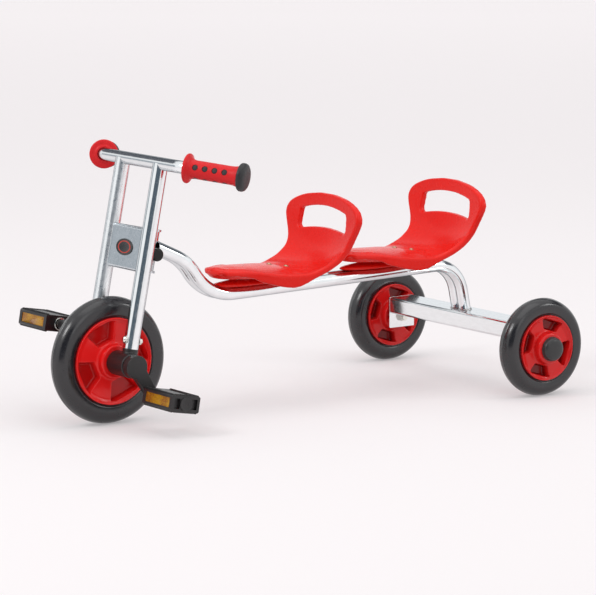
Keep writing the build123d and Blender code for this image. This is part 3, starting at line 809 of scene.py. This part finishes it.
# %% Grip knobs
knob = [
    (0.2, 0), (0.2, 24.0), (0.9, 26.2), (2.6, 27.3), (5.0, 27.5), (8.2, 27.2), (11.2, 25.8),
    (13.2, 22.8), (14.3, 17.8), (14.8, 11.0), (14.95, 4.5), (15.0, 0),
]
for side, way in sides.items():
    start = on_fork(way * bend_x, 0, bar_level) + bar_end_of[side] * 120 * mm
    finish_piece(turned(knob, start, bar_end_of[side], 96), f"{side}_grip_end", "fork", knob_black,
                 [f"{side}_grip_knob"], angle=60)

# %% [markdown]
# The front axle turns in a black housing at the foot of each fork tube, and a crank is pressed
# on each of its ends. Both are mouldings with generous edges, so a copy of the CAD solid gets
# an even skin. The crank's pedal pin stays steel: its faces get their own material.

# %% Bearing housings and cranks
pin_start = 109.5
for side, way in sides.items():
    housing = copy_of_node(f"{side}_bearing_housing")
    soften(housing, 1.1, 8)
    finish_piece(housing, f"{side}_axle_housing", "fork", moulded_black,
                 [f"{side}_bearing_housing"], angle=180)
    crank = copy_of_node(f"{side}_crank")
    soften(crank, 1.0, 10)
    finish_piece(crank, f"{side}_crank_arm", "front_wheel", moulded_black,
                 [f"{side}_crank"], angle=180)
    crank.data.materials.append(bolt_steel)
    for face in crank.data.polygons:
        if abs(face.center.x) > pin_start * mm:
            face.material_index = 1

# %% [markdown]
# The pedals keep their CAD body, which has its barrel, rails and cheeks. A child's shoe is held
# by rows of small teeth along the rails and the outer cheek, and the barrel ends in a round
# boss. One tooth is drawn and repeated along each row.

# %% Pedal teeth, end bosses and pin washers
tilt = radians(10)
tooth_pitch = 3.3
rail_x, rail_y, cheek_x, cheek_y = 46.2, 27.2, 45.0, 21.5
tread_height = 15.8
pedal_half = 50.5
pedal_up = Vector((0, sin(tilt), cos(tilt)))
pedal_back = Vector((0, cos(tilt), -sin(tilt)))
for side, way in sides.items():
    centre = middle(f"{side}_pedal")
    rows = []
    for face in (1, -1):
        stand = pedal_up * face
        for rail in (1, -1):
            first = (centre - across * rail_x * mm + pedal_back * rail * rail_y * mm
                     + stand * tread_height * mm)
            tooth = block(first, across, pedal_back, stand, 2.1, 6.8, 2.2, 1.0, 0.5)
            rows.append(row_of(tooth, 29, across * tooth_pitch * mm))
        first = (centre + across * way * cheek_x * mm - pedal_back * cheek_y * mm
                 + stand * tread_height * mm)
        tooth = block(first, across, pedal_back, stand, 8.0, 2.1, 2.2, 1.0, 0.5)
        rows.append(row_of(tooth, 14, pedal_back * tooth_pitch * mm))
    finish_piece(joined(rows), f"{side}_pedal_teeth", f"{side}_pedal", moulded_black)
    end = centre + across * way * pedal_half * mm
    boss = turned([(-2.0, 0), (-2.0, 13.6), (1.6, 13.6), (2.4, 13.0), (2.7, 11.8), (2.2, 10.6),
                   (2.2, 5.0), (1.6, 4.4), (1.6, 0)], end, across * way, 64)
    finish_piece(boss, f"{side}_pedal_end_boss", f"{side}_pedal", moulded_black)
    start = centre - across * way * pedal_half * mm
    washer = turned([(-2.8, 5.2), (-2.8, 11.8), (-2.3, 12.4), (-0.9, 12.4), (-0.5, 11.8),
                     (-0.5, 5.2)], start, across * way, 48)
    finish_piece(washer, f"{side}_pedal_pin_washer", f"{side}_pedal", bolt_steel)

# %% [markdown]
# A bolt through the foot of each fork tube clamps the bearing housing's spigot. Its domed head
# and washer show at the front, and its nut at the back. A lathe with six steps turns the nut.

# %% Fork bolts
head = [(-0.6, 0), (-0.6, 8.2), (0.7, 8.2), (1.1, 7.8), (1.2, 6.6), (3.0, 6.5), (4.6, 5.8),
        (5.9, 4.2), (6.5, 2.2), (6.7, 0)]
tube_x, tube_radius, bolt_level = 67, 15, 47
for side, way in sides.items():
    parts = []
    at_front = on_fork(way * tube_x, -tube_radius, bolt_level)
    parts.append(turned(head, at_front, -back_fork, 40))
    at_back = on_fork(way * tube_x, tube_radius, bolt_level)
    parts.append(turned([(-0.6, 0), (-0.6, 7.6), (0.7, 7.6), (1.0, 7.2), (1.0, 0)], at_back,
                        back_fork, 40))
    nut = turned([(0.9, 0), (0.9, 6.6), (5.6, 6.6), (6.2, 6.0), (6.2, 0)], at_back, back_fork, 6)
    parts.append(nut)
    parts.append(turned([(6.0, 0), (6.0, 3.2), (8.2, 3.2), (8.6, 2.8), (8.6, 0)], at_back,
                        back_fork, 24))
    finish_piece(joined(parts), f"{side}_fork_bolt", "fork", bolt_steel, angle=30)

# %% [markdown]
# Two screws hold each seat pan to a strap under it. They sit in the pan's dip, so their place
# comes from a ray cast down on the finished seat, and each head stands square to the surface.

# %% Seat screws
screw = [(-2.5, 0), (-2.5, 5.6), (0.3, 5.6), (0.7, 5.2), (0.8, 4.4), (1.6, 4.0), (2.3, 3.0),
         (2.6, 1.6), (2.1, 1.2), (2.1, 0)]
places = {"front": (-42.5, -0.8), "rear": (272.5, 316.1)}
for end, spots in places.items():
    heads = []
    for y in spots:
        point, normal = surface_under(mouldings[end], 0, y)
        heads.append(turned(screw, point, normal, 32))
    finish_piece(joined(heads), f"{end}_seat_screws", "frame", screw_brass)

# %% [markdown]
# The steel frame is welded before it is plated, so its weld beads share the plating. A bead is
# a ring or a rod with ripples, one for each drop of the weld.

# %% Weld beads
def weld_ring(centre, axis, radius, size):
    """A rippled ring round a tube, sized in millimetres."""
    deselect()
    turn = Vector((0, 0, 1)).rotation_difference(Vector(axis)).to_euler()
    bpy.ops.mesh.primitive_torus_add(location=centre, rotation=turn, major_radius=radius * mm,
                                     minor_radius=size * mm, major_segments=110, minor_segments=12)
    ring = bpy.context.object
    for vert in ring.data.vertices:
        around = atan2(vert.co.y, vert.co.x)
        vert.co *= 1 + 0.016 * sin(22 * around) + 0.010 * sin(9 * around + 1)
    return ring


def weld_rod(start, end, size):
    """A rippled bead along a straight joint."""
    length = (end - start).length / mm
    outline = [(0, 0)]
    steps = int(length / 1.1)
    for k in range(1, steps):
        here = length * k / steps
        fade = min(1, k / 3, (steps - k) / 3)
        outline.append((here, size * fade * (1 + 0.05 * sin(tau * here / 3.4))))
    outline.append((length, 0))
    return turned(outline, start, end - start, 14)


foot_x, foot_y, foot_z = 12.5, 448, 145.9
beads = [weld_ring(Vector((way * foot_x, foot_y, foot_z)) * mm, (0, 0, 1), 12.9, 1.7)
         for way in (1, -1)]
finish_piece(joined(beads), "tube_foot_welds", "frame", weld_steel)
beads = []
for way in (1, -1):
    beads.append(weld_rod(on_fork(way * 53.2, -6.0, 181), on_fork(way * 53.2, -6.0, 262), 1.5))
    for level in (180.0, 262.5):
        beads.append(weld_rod(on_fork(way * 52.8, -5, level), on_fork(way * 50.5, 9, level), 1.7))
finish_piece(joined(beads), "crown_welds", "fork", bright_plate)

# %% [markdown]
# The crown carries an oval badge. It is left plain: a dark plate with a raised rim and one
# ring, on which nothing is written.

# %% Plain badge
low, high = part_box("badge")
badge_half = (high.x - low.x) / 2 / mm
badge_rise = (high.z - low.z) / 2 / mm / up_fork.z
badge_back = on_fork(0, -7.4, 221.25)


def oval(outline, name, finish, stands_for=()):
    """A turned disc or ring widened to the badge's oval."""
    plate = turned(outline, badge_back, -back_fork, 96, up_fork)
    only(plate)
    bpy.ops.object.mode_set(mode="EDIT")
    bpy.ops.mesh.select_all(action="SELECT")
    bpy.ops.transform.resize(value=(badge_half / badge_rise, 1, 1), center_override=badge_back)
    bpy.ops.object.mode_set(mode="OBJECT")
    return finish_piece(plate, name, "fork", finish, stands_for, angle=40)


rise = badge_rise
oval([(0, 0), (0, rise), (0.9, rise), (1.4, rise - 0.5), (1.5, rise - 1.2), (1.2, rise - 1.9),
      (1.0, rise - 2.3), (1.0, 0)], "badge_plate", badge_black, ["badge"])
oval([(0.9, rise - 6.0), (1.25, rise - 5.8), (1.3, rise - 4.9), (1.25, rise - 4.1),
      (0.9, rise - 3.9)], "badge_trim", badge_ring)

# %% [markdown]
# A thin collar closes each bearing housing against its crank, and keeps grit out of the bearing.

# %% Housing collars
for side, way in sides.items():
    face = front_axle + across * way * 89.0 * mm
    collar = turned([(-3.4, 7.3), (-3.4, 22.6), (-2.8, 23.4), (-1.6, 23.6), (-0.6, 23.2),
                     (0.0, 22.2), (0.0, 7.3)], face, across * way, 96)
    finish_piece(collar, f"{side}_housing_collar", "fork", moulded_black)

# %% [markdown]
# The studio: a pale floor that runs past the edge of the view, broad soft lamps, and a long
# lens far away, which keeps the tricycle's lines nearly parallel. The floor's colour is lifted
# where it is seen or mirrored, more with distance, so that it meets the pale backdrop.

# %% Floor
deselect()
bpy.ops.mesh.primitive_plane_add(size=1, location=(-6, 6, 0))
floor = bpy.context.object
floor.name = "floor"
floor.scale = (60, 60, 1)
only(floor)
bpy.ops.object.transform_apply(location=True, rotation=True, scale=True)
floor_paint, shader = new_finish("floor_paint", (0.62, 0.60, 0.605), 0.9)
shader.inputs["Specular IOR Level"].default_value = 0.1
nodes, links = floor_paint.node_tree.nodes, floor_paint.node_tree.links
place = nodes.new("ShaderNodeTexCoord")
reach = nodes.new("ShaderNodeVectorMath")
reach.operation = "DOT_PRODUCT"
reach.inputs[1].default_value = (-0.8156, 0.5786, 0)
links.new(place.outputs["Object"], reach.inputs[0])
span = nodes.new("ShaderNodeMapRange")
fade_start, fade_end = -2.0, 12.0
span.inputs["From Min"].default_value = fade_start
span.inputs["From Max"].default_value = fade_end
links.new(reach.outputs["Value"], span.inputs["Value"])
fade = nodes.new("ShaderNodeValToRGB")
stops = [(-1.4, 0.29), (0.0, 0.29), (2.1, 0.34), (11.0, 0.43)]
while len(fade.color_ramp.elements) < len(stops):
    fade.color_ramp.elements.new(0.5)
for stop, (metres, level) in zip(fade.color_ramp.elements, stops):
    stop.position = (metres - fade_start) / (fade_end - fade_start)
    stop.color = (level, level, level, 1)
links.new(span.outputs["Result"], fade.inputs["Fac"])
glow = nodes.new("ShaderNodeEmission")
glow.inputs["Color"].default_value = (1.0, 0.955, 0.975, 1)
seen = nodes.new("ShaderNodeLightPath")
mirrored = nodes.new("ShaderNodeMath")
mirrored.operation = "MULTIPLY"
mirrored.inputs[1].default_value = 0.33
links.new(seen.outputs["Is Glossy Ray"], mirrored.inputs[0])
lift = nodes.new("ShaderNodeMath")
lift.operation = "MULTIPLY_ADD"
links.new(seen.outputs["Is Camera Ray"], lift.inputs[0])
links.new(fade.outputs["Color"], lift.inputs[1])
links.new(mirrored.outputs["Value"], lift.inputs[2])
links.new(lift.outputs["Value"], glow.inputs["Strength"])
both = nodes.new("ShaderNodeAddShader")
links.new(shader.outputs["BSDF"], both.inputs[0])
links.new(glow.outputs["Emission"], both.inputs[1])
links.new(both.outputs["Shader"], nodes["Material Output"].inputs["Surface"])
floor.data.materials.append(floor_paint)

# %% [markdown]
# Bright metal shows what stands round it, so the world has three looks: an even light for
# plain surfaces, a pale backdrop for the camera, and for reflections a white tent with a few
# dark openings. Those openings draw the dark lines along the tubes that make them read as
# chrome.

# %% World
world = bpy.data.worlds.new("studio")
world.use_nodes = True
bpy.context.scene.world = world
nodes, links = world.node_tree.nodes, world.node_tree.links
plain = nodes["Background"]
plain.inputs["Color"].default_value = (1.0, 0.99, 0.99, 1)
plain.inputs["Strength"].default_value = 0.76
facing = nodes.new("ShaderNodeTexCoord")


def opening(below, azimuth, elevation, inner, outer, color):
    """Darkens the tent softly round one direction, angles in degrees."""
    aim = Vector((cos(radians(azimuth)) * cos(radians(elevation)),
                  sin(radians(azimuth)) * cos(radians(elevation)), sin(radians(elevation))))
    near = nodes.new("ShaderNodeVectorMath")
    near.operation = "DOT_PRODUCT"
    near.inputs[1].default_value = aim
    links.new(facing.outputs["Generated"], near.inputs[0])
    edge = nodes.new("ShaderNodeMapRange")
    edge.interpolation_type = "SMOOTHSTEP"
    edge.inputs["From Min"].default_value = cos(radians(outer))
    edge.inputs["From Max"].default_value = cos(radians(inner))
    links.new(near.outputs["Value"], edge.inputs["Value"])
    mix = nodes.new("ShaderNodeMix")
    mix.data_type = "RGBA"
    mix.inputs["A"].default_value = (0.96, 0.97, 0.98, 1)
    mix.inputs["B"].default_value = (*color, 1)
    if below:
        links.new(below, mix.inputs["A"])
    links.new(edge.outputs["Result"], mix.inputs["Factor"])
    return mix.outputs["Result"]


def between(value, start, end):
    """0 before start and 1 after end, smoothly."""
    step = nodes.new("ShaderNodeMapRange")
    step.interpolation_type = "SMOOTHSTEP"
    step.inputs["From Min"].default_value = start
    step.inputs["From Max"].default_value = end
    links.new(value, step.inputs["Value"])
    return step.outputs["Result"]


def product(*values):
    result = values[0]
    for value in values[1:]:
        times = nodes.new("ShaderNodeMath")
        times.operation = "MULTIPLY"
        links.new(result, times.inputs[0])
        links.new(value, times.inputs[1])
        result = times.outputs["Value"]
    return result


def band(below, azimuth, half, low, high, color):
    """Darkens a strip of the tent's wall between two heights, angles in degrees."""
    level = nodes.new("ShaderNodeVectorMath")
    level.operation = "MULTIPLY"
    level.inputs[1].default_value = (1, 1, 0)
    links.new(facing.outputs["Generated"], level.inputs[0])
    unit = nodes.new("ShaderNodeVectorMath")
    unit.operation = "NORMALIZE"
    links.new(level.outputs["Vector"], unit.inputs[0])
    near = nodes.new("ShaderNodeVectorMath")
    near.operation = "DOT_PRODUCT"
    near.inputs[1].default_value = (cos(radians(azimuth)), sin(radians(azimuth)), 0)
    links.new(unit.outputs["Vector"], near.inputs[0])
    height = nodes.new("ShaderNodeSeparateXYZ")
    links.new(facing.outputs["Generated"], height.inputs["Vector"])
    inside = product(
        between(near.outputs["Value"], cos(radians(half + 5)), cos(radians(half - 5))),
        between(height.outputs["Z"], sin(radians(low - 2)), sin(radians(low + 1))),
        between(height.outputs["Z"], sin(radians(high + 2)), sin(radians(high - 1))))
    mix = nodes.new("ShaderNodeMix")
    mix.data_type = "RGBA"
    mix.inputs["B"].default_value = (*color, 1)
    links.new(below, mix.inputs["A"])
    links.new(inside, mix.inputs["Factor"])
    return mix.outputs["Result"]


tent = opening(None, -47, 10, 30, 36, (0.09, 0.12, 0.15))
tent = band(tent, 130, 75, 24, 38, (0.13, 0.14, 0.16))
tent = opening(tent, 220, 6, 6, 15, (0.34, 0.38, 0.42))
tent_light = nodes.new("ShaderNodeBackground")
links.new(tent, tent_light.inputs["Color"])
backdrop = nodes.new("ShaderNodeBackground")
backdrop.inputs["Color"].default_value = (0.90, 0.855, 0.88, 1)
ray = nodes.new("ShaderNodeLightPath")
by_gloss = nodes.new("ShaderNodeMixShader")
links.new(ray.outputs["Is Glossy Ray"], by_gloss.inputs["Fac"])
links.new(plain.outputs["Background"], by_gloss.inputs[1])
links.new(tent_light.outputs["Background"], by_gloss.inputs[2])
by_view = nodes.new("ShaderNodeMixShader")
links.new(ray.outputs["Is Camera Ray"], by_view.inputs["Fac"])
links.new(by_gloss.outputs["Shader"], by_view.inputs[1])
links.new(backdrop.outputs["Background"], by_view.inputs[2])
links.new(by_view.outputs["Shader"], nodes["World Output"].inputs["Surface"])
world.cycles.sampling_method = "NONE"
print("world ready")

# %% [markdown]
# Four square lamps. The key stands ahead of the tricycle on its far side and gives the tyres
# their highlight, the top lamp lights seats and floor, the fill opens the near side, and the
# rim lamp stands behind and lights the rear edges.

# %% Lamps
def lamp(name, place, size, power):
    """A square soft lamp aimed at the middle of the tricycle."""
    data = bpy.data.lights.new(name, "AREA")
    data.shape = "SQUARE"
    data.size = size
    data.energy = power
    piece = bpy.data.objects.new(name, data)
    piece.location = place
    aim = Vector((0, 0, 0.25)) - Vector(place)
    piece.rotation_euler = aim.to_track_quat("-Z", "Y").to_euler()
    bpy.context.scene.collection.objects.link(piece)


lamp("key", (-0.4, -3.6, 3.2), 1.4, 48)
lamp("top", (0.6, 0.2, 3.6), 3.2, 24)
lamp("fill", (4.2, -0.6, 2.4), 2.2, 11)
lamp("rim", (2.4, 3.0, 2.2), 0.9, 14)

# %% [markdown]
# The camera stands far off and uses a long lens, so that the tricycle keeps its proportions.

# %% Camera
camera = bpy.data.objects.new("camera", bpy.data.cameras.new("camera"))
camera.location = (5.27097, -3.71332, 1.22166)
camera.rotation_mode = "QUATERNION"
camera.rotation_quaternion = Vector((-0.8056, 0.5719, -0.1552)).to_track_quat("-Z", "Y")
camera.data.lens = 195.65
camera.data.sensor_width = 36
camera.data.clip_end = 200
bpy.context.scene.collection.objects.link(camera)
bpy.context.scene.camera = camera
bpy.context.scene.view_settings.view_transform = "Standard"
print("camera at", [round(v, 2) for v in camera.location])
